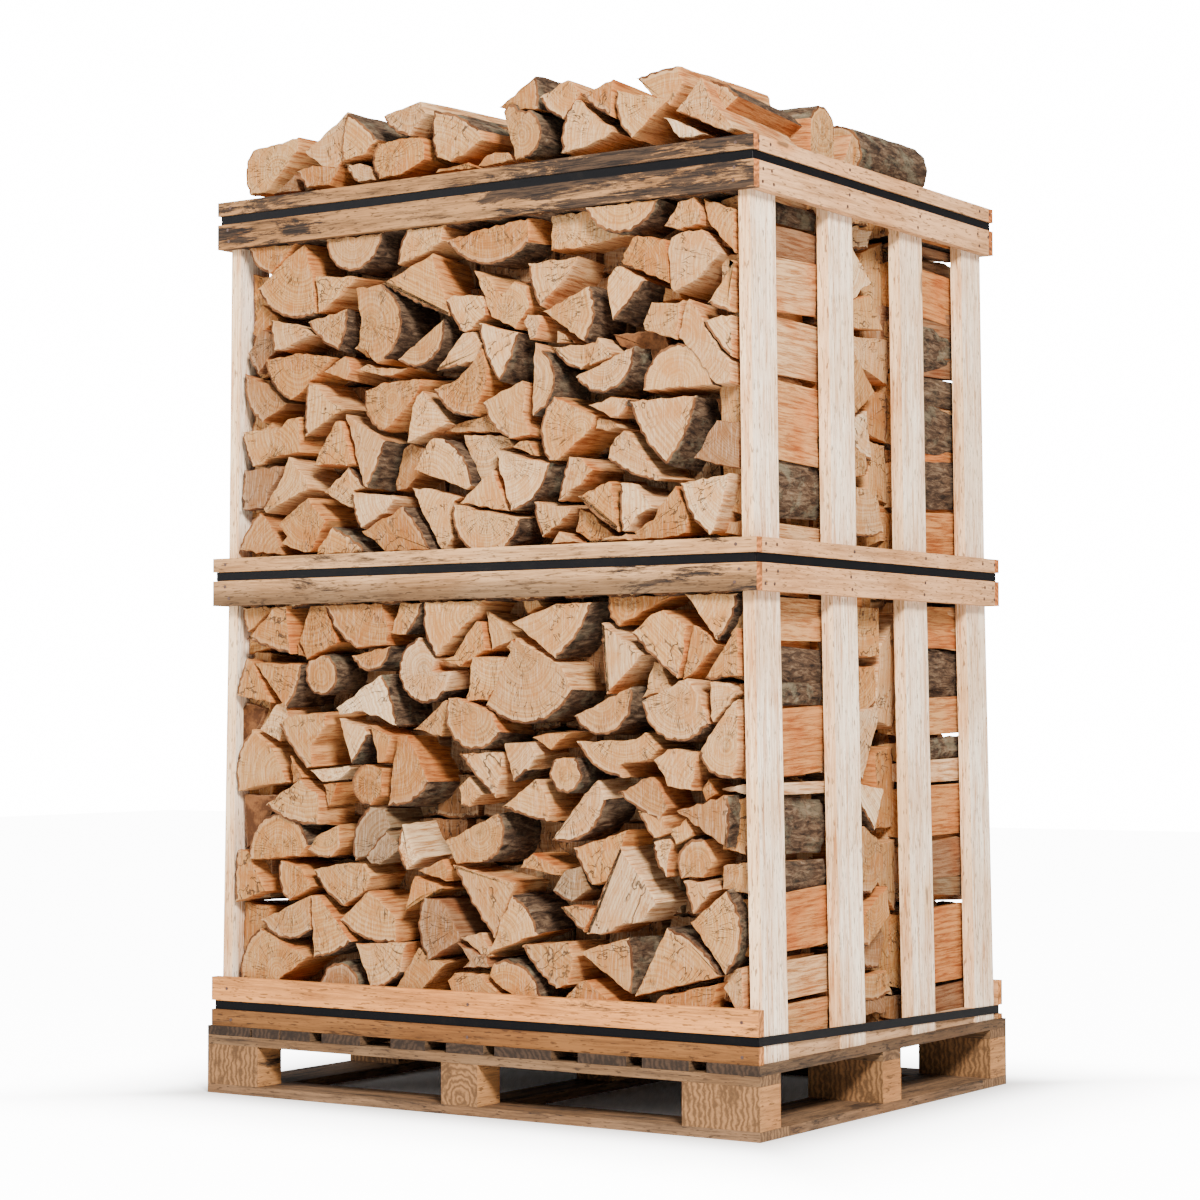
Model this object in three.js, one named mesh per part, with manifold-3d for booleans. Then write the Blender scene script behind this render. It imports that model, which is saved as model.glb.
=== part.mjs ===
// A pallet crate of split firewood: a nine-block pallet, eight posts held in two rings of rails,
// three plastic straps, and the stacked wood. Millimetres, +X to the right, +Y to the back, +Z up.
// The origin is on the ground, under the middle of the pallet.

import * as THREE from 'three';
import { mergeVertices } from 'three/addons/utils/BufferGeometryUtils.js';
import Module from 'manifold-3d';

const wasm = await Module();
wasm.setup();

// Fits
const GAP = 0.3; // between pieces that touch

// Pallet
const PALLET_X = 1210;
const PALLET_Y = 926;
const BOARD = 17; // thickness of every pallet board
const BLOCK_Z = 74;
const BLOCK_Y = 68;
const BLOCK_COLUMNS = {
  left: { centre: -543.5, width: 123 },
  middle: { centre: -15, width: 80 },
  right: { centre: 528.5, width: 153 },
};
const BLOCK_ROWS = {
  front: (BLOCK_Y - PALLET_Y) / 2,
  middle: 0,
  back: (PALLET_Y - BLOCK_Y) / 2,
};
const CROSS_BOARD_Y = 100; // front to back size of the two bottom boards that run across
const DECK_BOARDS = [
  { centre: -553, width: 104 },
  { centre: -463, width: 66 },
  { centre: -392, width: 70 },
  { centre: -284, width: 90 },
  { centre: -130, width: 78 },
  { centre: -3, width: 82 },
  { centre: 123, width: 122 },
  { centre: 290, width: 100 },
  { centre: 419, width: 94 },
  { centre: 553, width: 104 },
];
const BLOCK_BASE = BOARD + GAP;
const STRINGER_BASE = BLOCK_BASE + BLOCK_Z + GAP;
const DECK_BASE = STRINGER_BASE + BOARD + GAP;
const DECK_TOP = DECK_BASE + BOARD;

// Rails and straps. A rail's groove has `below` under it and `above` over it.
const RAIL = 18;
const GROOVE_Z = 17;
const GROOVE_DEPTH = 5;
const STRAP_Z = 15.6;
const STRAP = 1;
const STRAP_CORNER = 4;
const RINGS = {
  middle: { x: 1200, y: 916, base: 917.5, below: 47, above: 26 },
  top: { x: 1190, y: 906, base: 1598, below: 47, above: 26 },
};
const BOTTOM_X = 1200;
const BOTTOM_Y = 916;
const BOTTOM_RAILS = {
  front: { side: -1, below: 30, above: 44 },
  back: { side: 1, below: 9, above: 47 },
};

// Posts: they lean in from the deck to the middle ring, and a little more to the top one.
const POST_X = 23;
const POST_TOP = 1680;
const POST_FOOT_FACE = 594.6; // from the middle of the crate to the post's outer face
const POST_RING_FACE = 581.5;
const POST_TOP_FACE = 575;
const POSTS = [
  { centre: -392, width: 84 },
  { centre: -122, width: 88 },
  { centre: 147, width: 88 },
  { centre: 394, width: 80 },
];
const SPACER_X = 25;
const SPACER_Z = 27;
const SPACER_FACE = 591;

// Firewood
const ROW_Y = 299.4; // a row is one log long
const ROW_TOP = RINGS.top.base + RINGS.top.below + GROOVE_Z + RINGS.top.above;
const LOG_TIPS = 450; // how far from the middle the log ends reach between the rails
const HEAP_OUTLINE = [
  [-545, 0],
  [-545, 92],
  [-290, 142],
  [0, 132],
  [130, 155],
  [440, 136],
  [548, 50],
  [548, 0],
];
const HEAP_SIDE = [
  [-440, 0],
  [-440, 155],
  [-160, 155],
  [10, 105],
  [260, 90],
  [425, 40],
  [425, 0],
];

const MATERIALS = {
  pallet: new THREE.MeshStandardMaterial({ color: 0x9c7a55, roughness: 0.9, metalness: 0 }),
  block: new THREE.MeshStandardMaterial({ color: 0xb98a5c, roughness: 0.9, metalness: 0 }),
  rail: new THREE.MeshStandardMaterial({ color: 0xd0a077, roughness: 0.8, metalness: 0 }),
  post: new THREE.MeshStandardMaterial({ color: 0xe3c8aa, roughness: 0.75, metalness: 0 }),
  strap: new THREE.MeshStandardMaterial({ color: 0x17171a, roughness: 0.4, metalness: 0 }),
  log: new THREE.MeshStandardMaterial({ color: 0xd2a06d, roughness: 0.85, metalness: 0 }),
};

const crate = new THREE.Group();

function add(name, geometry, material) {
  const mesh = new THREE.Mesh(geometry, MATERIALS[material]);
  mesh.name = name;
  crate.add(mesh);
  return mesh;
}

/** A board by its size, its centre in plan and the height of its underside. */
function board(name, material, size, centre, base) {
  const [x, y, z] = size;
  const mesh = add(name, new THREE.BoxGeometry(x, y, z), material);
  mesh.position.set(centre[0], centre[1], base + z / 2);
}

function solid(geometry) {
  const bare = geometry.clone();
  bare.deleteAttribute('normal');
  bare.deleteAttribute('uv');
  const merged = mergeVertices(bare);
  const vertProperties = new Float32Array(merged.attributes.position.array);
  const triVerts = new Uint32Array(merged.index.array);
  return new wasm.Manifold(new wasm.Mesh({ numProp: 3, vertProperties, triVerts }));
}

function surface(manifold) {
  const mesh = manifold.getMesh();
  const geometry = new THREE.BufferGeometry();
  geometry.setAttribute('position', new THREE.BufferAttribute(mesh.vertProperties, 3));
  geometry.setIndex(new THREE.BufferAttribute(mesh.triVerts, 1));
  geometry.computeVertexNormals();
  return geometry;
}

/** An upright rectangle in plan with round corners. */
function rectangle(shape, x, y, radius) {
  const right = x / 2 - radius;
  const back = y / 2 - radius;
  shape.absarc(right, back, radius, 0, Math.PI / 2);
  shape.absarc(-right, back, radius, Math.PI / 2, Math.PI);
  shape.absarc(-right, -back, radius, Math.PI, 1.5 * Math.PI);
  shape.absarc(right, -back, radius, 1.5 * Math.PI, 2 * Math.PI);
  shape.closePath();
  return shape;
}

/** A band round a rectangle, `thickness` wide and centred at `height`. */
function band(x, y, thickness, radius, z, height) {
  const shape = rectangle(new THREE.Shape(), x, y, radius);
  shape.holes.push(
    rectangle(new THREE.Path(), x - 2 * thickness, y - 2 * thickness, radius - thickness),
  );
  const geometry = new THREE.ExtrudeGeometry(shape, {
    depth: z,
    bevelEnabled: false,
    curveSegments: 4,
  });
  geometry.translate(0, 0, height - z / 2);
  return geometry;
}

/** What a rail's groove takes away, for a ring whose outside is x by y. */
function grooveCutter(x, y, height) {
  const reach = 2 * GROOVE_DEPTH;
  const corner = reach + STRAP_CORNER;
  return solid(band(x + reach, y + reach, reach, corner, GROOVE_Z, height));
}

/** An outline of across and up points, pushed from `start` to `end` along Y or along X. */
function prism(points, start, end, along) {
  const shape = new THREE.Shape(points.map(([across, up]) => new THREE.Vector2(across, up)));
  const geometry = new THREE.ExtrudeGeometry(shape, { depth: end - start, bevelEnabled: false });
  geometry.rotateX(Math.PI / 2);
  if (along === 'x') {
    geometry.rotateZ(Math.PI / 2);
    geometry.translate(start, 0, 0);
  } else {
    geometry.translate(0, end, 0);
  }
  return geometry;
}

// Pallet: bottom boards, blocks, stringers and deck.
function pallet() {
  const lengthBetween = PALLET_Y - 2 * (CROSS_BOARD_Y + GAP);
  for (const [row, centre] of Object.entries(BLOCK_ROWS)) {
    if (row !== 'middle') {
      const side = Math.sign(centre);
      const y = (side * (PALLET_Y - CROSS_BOARD_Y)) / 2;
      board(`bottom_board_${row}`, 'pallet', [PALLET_X, CROSS_BOARD_Y, BOARD], [0, y], 0);
    }
    const stringer = [PALLET_X, BLOCK_Y, BOARD];
    board(`stringer_${row}`, 'pallet', stringer, [0, centre], STRINGER_BASE);
  }
  for (const [column, { centre, width }] of Object.entries(BLOCK_COLUMNS)) {
    board(`bottom_board_${column}`, 'pallet', [width, lengthBetween, BOARD], [centre, 0], 0);
    for (const [row, y] of Object.entries(BLOCK_ROWS)) {
      const size = [width, BLOCK_Y, BLOCK_Z];
      board(`block_${row}_${column}`, 'block', size, [centre, y], BLOCK_BASE);
    }
  }
  DECK_BOARDS.forEach(({ centre, width }, i) => {
    board(`deck_board_${i + 1}`, 'pallet', [width, PALLET_Y, BOARD], [centre, 0], DECK_BASE);
  });
}

// A ring's four rails and its strap. The front and back rails cover the ends of the side ones, and
// the groove runs round the corners too.
function ring(name, { x, y, base, below, above }) {
  const height = below + GROOVE_Z + above;
  const strapHeight = base + below + GROOVE_Z / 2;
  const groove = grooveCutter(x, y, strapHeight);
  const rails = {
    front: { size: [x, RAIL], at: [0, (RAIL - y) / 2] },
    back: { size: [x, RAIL], at: [0, (y - RAIL) / 2] },
    left: { size: [RAIL, y - 2 * (RAIL + GAP)], at: [(RAIL - x) / 2, 0] },
    right: { size: [RAIL, y - 2 * (RAIL + GAP)], at: [(x - RAIL) / 2, 0] },
  };
  for (const [side, { size, at }] of Object.entries(rails)) {
    const blank = new THREE.BoxGeometry(size[0], size[1], height);
    blank.translate(at[0], at[1], base + height / 2);
    add(`${name}_rail_${side}`, surface(solid(blank).subtract(groove)), 'rail');
  }
  const inset = 2 * (GROOVE_DEPTH - GAP - STRAP);
  const loop = band(x - inset, y - inset, STRAP, STRAP_CORNER, STRAP_Z, strapHeight);
  add(`strap_${name}`, loop, 'strap');
}

// The bottom rails stand on the deck at the front and back, and their strap passes outside the
// feet of the posts. The back groove is lower, so the strap slopes down to the back.
function bottomRails() {
  const middles = {};
  for (const [row, { side, below, above }] of Object.entries(BOTTOM_RAILS)) {
    const height = below + GROOVE_Z + above;
    const base = DECK_TOP + GAP;
    middles[row] = base + below + GROOVE_Z / 2;
    const blank = new THREE.BoxGeometry(BOTTOM_X, RAIL, height);
    blank.translate(0, (side * (BOTTOM_Y - RAIL)) / 2, base + height / 2);
    const groove = grooveCutter(BOTTOM_X, BOTTOM_Y, middles[row]);
    add(`bottom_rail_${row}`, surface(solid(blank).subtract(groove)), 'rail');
  }
  const inset = 2 * (GROOVE_DEPTH - GAP - STRAP);
  const x = BOTTOM_X - inset;
  const y = BOTTOM_Y - inset;
  const loop = band(x, y, STRAP, STRAP_CORNER, STRAP_Z, (middles.front + middles.back) / 2);
  const slope = (middles.back - middles.front) / y;
  loop.applyMatrix4(new THREE.Matrix4().makeShear(0, 0, 0, slope, 0, 0));
  add('strap_bottom', loop, 'strap');
}

// Eight posts, four a side, and the rough spacers between their feet.
function posts() {
  const foot = DECK_TOP + GAP;
  const ringBase = RINGS.middle.base;
  for (const [name, side] of Object.entries({ left: -1, right: 1 })) {
    const outline = [
      [POST_FOOT_FACE, foot],
      [POST_RING_FACE, ringBase],
      [POST_TOP_FACE, POST_TOP],
      [POST_TOP_FACE - POST_X, POST_TOP],
      [POST_RING_FACE - POST_X, ringBase],
      [POST_FOOT_FACE - POST_X, foot],
    ].map(([x, z]) => [side * x, z]);
    POSTS.forEach(({ centre, width }, i) => {
      const start = centre - width / 2;
      add(`post_${name}_${i + 1}`, prism(outline, start, start + width, 'y'), 'post');
      const next = POSTS[i + 1];
      if (next) {
        const from = start + width + GAP;
        const to = next.centre - next.width / 2 - GAP;
        const size = [SPACER_X, to - from, SPACER_Z];
        const centreX = side * (SPACER_FACE - SPACER_X / 2);
        board(`spacer_${name}_${i + 1}`, 'pallet', size, [centreX, (from + to) / 2], foot);
      }
    });
  }
}

// The stacked wood: three rows, each one log long, and the heap on top of them. Each is the outer
// shape of its logs, from tip to tip.
function firewood() {
  const base = DECK_TOP + GAP;
  const clear = POST_X + GAP;
  const across = [
    [SPACER_FACE - SPACER_X - GAP, base],
    [SPACER_FACE - SPACER_X - GAP, base + SPACER_Z + GAP],
    [POST_RING_FACE - clear, RINGS.middle.base],
    [POST_TOP_FACE - clear, ROW_TOP],
  ];
  const mirrored = across.map(([x, z]) => [-x, z]).reverse();
  const body = solid(prism([...across, ...mirrored], -PALLET_Y / 2, PALLET_Y / 2, 'y'));

  const inside = (BOTTOM_Y - 2 * (RAIL + GAP)) / 2;
  const insideTop = (RINGS.top.y - 2 * (RAIL + GAP)) / 2;
  const frontRail = BOTTOM_RAILS.front;
  const railTop = base + frontRail.below + GROOVE_Z + frontRail.above + GAP;
  const ringTop = RINGS.middle.base + RINGS.middle.below + GROOVE_Z + RINGS.middle.above + GAP;
  const ends = [
    [inside, base],
    [inside, railTop],
    [LOG_TIPS, railTop],
    [LOG_TIPS, RINGS.middle.base - GAP],
    [inside, RINGS.middle.base - GAP],
    [inside, ringTop],
    [LOG_TIPS, ringTop],
    [LOG_TIPS, RINGS.top.base - GAP],
    [insideTop, RINGS.top.base - GAP],
    [insideTop, ROW_TOP],
  ];
  const half = PALLET_X / 2;
  const backOuter = [...ends, [ROW_Y / 2 + GAP, ROW_TOP], [ROW_Y / 2 + GAP, base]];
  const frontOuter = backOuter.map(([y, z]) => [-y, z]);
  const middleOuter = [
    [-ROW_Y / 2, base],
    [ROW_Y / 2, base],
    [ROW_Y / 2, ROW_TOP],
    [-ROW_Y / 2, ROW_TOP],
  ];
  const rows = { front: frontOuter, middle: middleOuter, back: backOuter };
  for (const [row, outline] of Object.entries(rows)) {
    const slice = solid(prism(outline, -half, half, 'x'));
    add(`log_row_${row}`, surface(body.intersect(slice)), 'log');
  }

  const lift = ([across, up]) => [across, up + ROW_TOP + GAP];
  const heapAcross = solid(prism(HEAP_OUTLINE.map(lift), -half, half, 'y'));
  const heapAlong = solid(prism(HEAP_SIDE.map(lift), -half, half, 'x'));
  add('log_heap', surface(heapAcross.intersect(heapAlong)), 'log');
}

pallet();
ring('middle', RINGS.middle);
ring('top', RINGS.top);
bottomRails();
posts();
firewood();

export default crate;
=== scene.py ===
import math
import random

import bpy
import numpy as np
from mathutils import Matrix, Vector


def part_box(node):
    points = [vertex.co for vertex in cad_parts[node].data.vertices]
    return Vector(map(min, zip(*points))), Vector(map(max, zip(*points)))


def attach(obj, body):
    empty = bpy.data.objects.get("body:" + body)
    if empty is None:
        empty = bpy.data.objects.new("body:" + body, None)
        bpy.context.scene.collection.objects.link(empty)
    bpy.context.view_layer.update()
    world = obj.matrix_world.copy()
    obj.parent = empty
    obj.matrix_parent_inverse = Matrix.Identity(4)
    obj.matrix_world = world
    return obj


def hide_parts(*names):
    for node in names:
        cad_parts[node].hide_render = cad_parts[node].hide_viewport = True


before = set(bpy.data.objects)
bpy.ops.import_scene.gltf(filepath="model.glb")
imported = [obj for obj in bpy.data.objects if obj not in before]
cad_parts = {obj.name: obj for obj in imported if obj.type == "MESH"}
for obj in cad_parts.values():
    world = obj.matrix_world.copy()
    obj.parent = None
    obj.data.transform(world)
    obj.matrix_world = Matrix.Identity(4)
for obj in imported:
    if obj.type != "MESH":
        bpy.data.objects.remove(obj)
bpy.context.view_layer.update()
bpy.ops.object.select_all(action="DESELECT")

# Pallet: rough sawn softwood boards and blocks, nailed together, grey and dirty with use.
# Five bottom boards, nine blocks, three stringers and ten deck boards are the solids
# themselves, and each gets a wood of its own, with the grain along its length.

X, Y, Z = 0, 1, 2


def add_node(tree, kind, inputs=None, **settings):
    """One shader node, with its settings, and its inputs set or linked."""
    made = tree.nodes.new("ShaderNode" + kind)
    for key, value in settings.items():
        setattr(made, key, value)
    for key, value in (inputs or {}).items():
        if isinstance(value, bpy.types.NodeSocket):
            tree.links.new(value, made.inputs[key])
        else:
            made.inputs[key].default_value = value
    return made


def do_maths(tree, operation, first, second=0.0, third=0.0):
    """One sum on shader values."""
    return add_node(tree, "Math", {0: first, 1: second, 2: third}, operation=operation).outputs[0]


def times(tree, value, share):
    """A shader value made smaller or larger."""
    return do_maths(tree, "MULTIPLY", value, share)


def opposite(tree, value):
    """1 where the value is 0, and 0 where it is 1."""
    return do_maths(tree, "SUBTRACT", 1.0, value)


def step(tree, value, low, high):
    """0 below low, 1 above high, smooth between."""
    made = add_node(
        tree, "MapRange", {0: value, 1: low, 2: high, 3: 0.0, 4: 1.0}, interpolation_type="SMOOTHSTEP"
    )
    return made.outputs[0]


def colour(value):
    """A shade as it should look: the view pales every colour, so it is deepened first."""
    top = max(max(value), 1e-6)
    return tuple(top * (part / top) ** 1.75 for part in value) + (1.0,)


def darker(shade, share):
    """A shade with every part made smaller."""
    return tuple(part * share for part in shade)


def mix_colours(tree, share, first, second, blend="MIX"):
    """The first colour, with a share of the second."""
    first = colour(first) if isinstance(first, tuple) else first
    second = colour(second) if isinstance(second, tuple) else second
    made = add_node(
        tree, "Mix", {0: share, 6: first, 7: second}, data_type="RGBA", blend_type=blend, clamp_factor=True
    )
    return made.outputs[2]


def tint(tree, first, second):
    """The first colour, darkened part by part by the second."""
    return mix_colours(tree, 1.0, first, second, "MULTIPLY")


def stretch(tree, vector, scale, shift=(0, 0, 0)):
    """A place in the wood, squeezed along its axes, so that a pattern is drawn out there."""
    return add_node(tree, "Mapping", {0: vector, 1: shift, 3: scale}).outputs[0]


def add_noise(tree, vector, scale, detail=4.0, roughness=0.6, distortion=0.0):
    """Cloudy noise, about 0.5 on average."""
    made = add_node(
        tree,
        "TexNoise",
        {"Vector": vector, "Scale": scale, "Detail": detail, "Roughness": roughness, "Distortion": distortion},
    )
    return made.outputs[0]


def grade(tree, value, stops):
    """A colour for each value, from stops of (value, colour)."""
    made = add_node(tree, "ValToRGB", {0: value})
    ends = made.color_ramp.elements
    while len(ends) < len(stops):
        ends.new(0.5)
    for end, (at, shade) in zip(ends, stops):
        end.position = at
        end.color = colour(shade)
    return made.outputs[0]


def new_material(name):
    """An empty shader: its material, its node tree, and the node that it ends in."""
    material = bpy.data.materials.new(name)
    material.use_nodes = True
    tree = material.node_tree
    return material, tree, tree.nodes["Principled BSDF"]


def finish_shader(tree, shader, face, height, roughness, shine, strength, relief):
    """Link a colour and a relief into the end of a wood's shader."""
    tree.links.new(face, shader.inputs["Base Color"])
    shader.inputs["Roughness"].default_value = roughness
    shader.inputs["Specular IOR Level"].default_value = shine
    bump = add_node(tree, "Bump", {"Strength": strength, "Distance": relief, "Height": height})
    tree.links.new(bump.outputs[0], shader.inputs["Normal"])


def give_material(node, material):
    """Give a solid its wood or plastic."""
    solid = bpy.data.objects[node]
    solid.data.materials.clear()
    solid.data.materials.append(material)


def sawn_wood(node, name, along, shades, seed, dirt, stain=None, low=None, knots=0.5, painted_front_shade=None):
    """Give a solid sawn softwood, with the grain along one axis and end grain across it.

    The shades are the grain's dark and pale ones and the end grain's. Dirt is how much of the
    face is weathered, stain says where along the piece there is more of it, the wood is darker
    below the heights in low, and the last shade given is painted shade, which darkens and
    yellows the faces that look to the front and back, against the sides.
    """
    dark, pale, end = shades
    material, tree, wood = new_material(name)
    place = add_node(tree, "TexCoord").outputs["Object"]
    axes = add_node(tree, "SeparateXYZ", {0: place}).outputs
    normal = add_node(tree, "SeparateXYZ", {0: add_node(tree, "NewGeometry").outputs["Normal"]}).outputs
    shift = (seed * 1.37 % 7, seed * 2.11 % 7, seed * 0.73 % 7)

    def drawn_out(share):
        """The place, squeezed along the grain."""
        squeeze = [1.0, 1.0, 1.0]
        squeeze[along] = share
        return stretch(tree, place, squeeze, shift)

    # The grain: fine lines and broader bands, with larger darker parts and flecks.
    fine_place = drawn_out(0.05)
    grain = add_noise(tree, fine_place, 280, 8, 0.75, 0.3)
    bands = add_noise(tree, fine_place, 70, 4, 0.6, 0.6)
    lines = do_maths(tree, "ADD", times(tree, grain, 0.6), times(tree, bands, 0.4))
    middle = tuple((a + b) / 2 for a, b in zip(dark, pale))
    face = grade(tree, lines, ((0.39, dark), (0.475, middle), (0.56, pale)))
    broad = step(tree, add_noise(tree, drawn_out(1.0), 5.0, 3, 0.5), 0.35, 0.7)
    face = mix_colours(tree, broad, face, tint(tree, face, (0.84, 0.79, 0.73)))
    fleck = step(tree, add_noise(tree, drawn_out(0.16), 300, 2, 0.5), 0.60, 0.66)
    face = mix_colours(tree, times(tree, fleck, 0.75), face, darker(dark, 0.35))

    # Knots, each with a halo, in some of the cells of a pattern.
    cells = add_node(tree, "TexVoronoi", {"Vector": drawn_out(0.30), "Scale": 9.0}).outputs
    ragged = times(tree, add_noise(tree, place, 60, 2, 0.5), 0.05)
    from_knot = do_maths(tree, "ADD", cells["Distance"], ragged)
    lot = add_node(tree, "SeparateColor", {0: cells["Color"]}).outputs[0]
    chosen = do_maths(tree, "LESS_THAN", lot, knots * 0.6)
    knot = times(tree, opposite(tree, step(tree, from_knot, 0.07, 0.10)), chosen)
    halo = times(tree, opposite(tree, step(tree, from_knot, 0.09, 0.19)), chosen)
    round_knot = tuple(a * b for a, b in zip(pale, (0.72, 0.58, 0.42)))
    face = mix_colours(tree, times(tree, halo, 0.5), face, round_knot)
    face = mix_colours(tree, times(tree, knot, 0.75), face, darker(dark, 0.3))

    # Dirt and weathering, in clouds drawn out along the grain.
    cloud = add_noise(tree, drawn_out(0.14), 30, 10, 0.78, 0.5)
    amount = step(tree, cloud, 0.66 - dirt * 0.3, 0.78 - dirt * 0.3)
    if stain:
        stops = [(at, (share, share, share)) for at, share in stain]
        ends = grade(tree, do_maths(tree, "MULTIPLY_ADD", axes[along], 0.8, 0.5), stops)
        smear = step(tree, do_maths(tree, "ADD", cloud, times(tree, ends, 0.25)), 0.66, 0.73)
        amount = do_maths(tree, "MAXIMUM", amount, smear)
    if low:
        depth = opposite(tree, step(tree, axes[Z], low[0], low[1]))
        face = mix_colours(tree, depth, face, (0.30, 0.30, 0.30), "MULTIPLY")
    grime = mix_colours(tree, step(tree, grain, 0.4, 0.62), (0.008, 0.006, 0.005), (0.06, 0.043, 0.030))
    face = mix_colours(tree, amount, face, grime)
    if painted_front_shade:
        # Painted shade: the faces that look to the front and back are darkened and made yellower than the
        # sides.
        edge = step(tree, do_maths(tree, "ABSOLUTE", normal[Y]), 0.6, 0.8)
        face = mix_colours(tree, times(tree, edge, 0.8), face, painted_front_shade, "MULTIPLY")

    # The end grain: rings round a heart that lies off the piece.
    across = [1.0, 1.0, 1.0]
    across[along] = 0.0
    heart = (0.013 * (seed % 3), 0.01, -0.03)
    ring_place = add_node(
        tree, "VectorMath", {0: stretch(tree, place, across), 1: heart}, operation="ADD"
    ).outputs[0]
    rings = add_node(
        tree,
        "TexWave",
        {"Vector": ring_place, "Scale": 30.0, "Distortion": 6.0, "Detail": 4.0, "Detail Scale": 2.5},
        wave_type="RINGS",
        rings_direction="XYZ"[along],
    ).outputs[0]
    cut = mix_colours(tree, rings, darker(end, 0.4), end)
    rough = step(tree, add_noise(tree, place, 38, 6, 0.7), 0.46, 0.66)
    cut = mix_colours(tree, rough, cut, darker(end, 0.35))
    is_end = step(tree, do_maths(tree, "ABSOLUTE", normal[along]), 0.7, 0.8)
    face = mix_colours(tree, is_end, face, cut)
    height = do_maths(tree, "SUBTRACT", lines, times(tree, amount, 0.2))
    finish_shader(tree, wood, face, height, 0.78, 0.25, 0.5, 0.0012)
    give_material(node, material)


board_shades = ((0.06, 0.044, 0.031), (0.21, 0.15, 0.10), (0.22, 0.155, 0.10))
block_shades = ((0.20, 0.13, 0.072), (0.45, 0.295, 0.165), (0.27, 0.18, 0.105))
stringer_shades = ((0.065, 0.047, 0.032), (0.20, 0.145, 0.095), (0.20, 0.14, 0.09))
deck_shades = ((0.032, 0.024, 0.017), (0.12, 0.088, 0.06), (0.05, 0.036, 0.026))
for number, name in enumerate(("front", "back", "left", "middle", "right")):
    along = X if name in ("front", "back") else Y
    sawn_wood("bottom_board_" + name, "bottom_wood_" + name, along, board_shades, 3 + number, 0.5)
number = 0
for row in ("front", "middle", "back"):
    for column in ("left", "middle", "right"):
        number = number + 1
        node = "block_%s_%s" % (row, column)
        sawn_wood(node, "block_wood_%d" % number, Y, block_shades, 20 + number, 0.35)
    sawn_wood("stringer_" + row, "stringer_wood_" + row, X, stringer_shades, 40 + number, 0.42)
for number in range(1, 11):
    sawn_wood("deck_board_%d" % number, "deck_wood_%d" % number, Y, deck_shades, 60 + number, 0.5)

# Crate: planed softwood rails and posts, nailed. Two bottom rails stand on the deck, and
# two rings of four rails hold the posts. The solids are kept, and the rails of the open
# front and back are the most weathered.

sawn_wood(
    "bottom_rail_front", "bottom_rail_wood_front", X,
    ((0.34, 0.20, 0.092), (0.72, 0.435, 0.205), (0.58, 0.34, 0.17)), 81, 0.38, low=(0.160, 0.180),
)
sawn_wood(
    "bottom_rail_back", "bottom_rail_wood_back", X,
    ((0.40, 0.25, 0.14), (0.70, 0.50, 0.33), (0.62, 0.36, 0.17)), 82, 0.35,
)
sawn_wood(
    "middle_rail_front", "middle_rail_wood_front", X,
    ((0.26, 0.18, 0.11), (0.60, 0.44, 0.29), (0.56, 0.30, 0.14)), 83, 0.38,
    stain=((0.0, 0.35), (0.2, 0.2), (0.55, 0.15), (0.8, 0.6), (0.95, 0.7)), low=(0.925, 0.965),
)
sawn_wood(
    "top_rail_front", "top_rail_wood_front", X,
    ((0.09, 0.062, 0.038), (0.36, 0.245, 0.145), (0.56, 0.30, 0.14)), 84, 0.55,
    stain=((0.0, 1.0), (0.15, 0.9), (0.25, 0.6), (0.5, 0.55), (0.62, 0.95), (0.9, 1.0), (1.0, 0.8)),
)
sawn_wood(
    "middle_rail_back", "middle_rail_wood_back", X,
    ((0.38, 0.26, 0.16), (0.74, 0.55, 0.38), (0.60, 0.30, 0.13)), 85, 0.4,
)
sawn_wood(
    "top_rail_back", "top_rail_wood_back", X,
    ((0.28, 0.19, 0.12), (0.68, 0.50, 0.34), (0.60, 0.30, 0.13)), 86, 0.5,
)
side_rail_shades = ((0.33, 0.225, 0.14), (0.68, 0.485, 0.325), (0.56, 0.33, 0.17))
post_shades = ((0.56, 0.39, 0.26), (1.0, 0.91, 0.79), (0.70, 0.50, 0.32))
# Painted shade for the posts' faces to the front and back: darker and yellower than their sides.
post_painted_shade = (1.0, 0.88, 0.72)
spacer_shades = ((0.34, 0.24, 0.16), (0.60, 0.46, 0.33), (0.5, 0.36, 0.22))
for number, name in enumerate(("middle_rail_left", "middle_rail_right", "top_rail_left", "top_rail_right")):
    sawn_wood(name, name + "_wood", Y, side_rail_shades, 90 + number, 0.14, knots=1.0)
for side in ("left", "right"):
    for number in range(1, 5):
        seed = 100 + number + 10 * (side == "left")
        material_name = "post_wood_%s_%d" % (side, number)
        node = "post_%s_%d" % (side, number)
        sawn_wood(node, material_name, Z, post_shades, seed, 0.06, knots=0.8, painted_front_shade=post_painted_shade)
    for number in range(1, 4):
        material_name = "spacer_wood_%s_%d" % (side, number)
        sawn_wood("spacer_%s_%d" % (side, number), material_name, Y, spacer_shades, 130 + number, 0.4)

# The nails: three steel heads, 6 mm across, one above the other at each post of the side
# rails and at each end of the front and back rails. The bottom rails have three pairs each.

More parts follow.
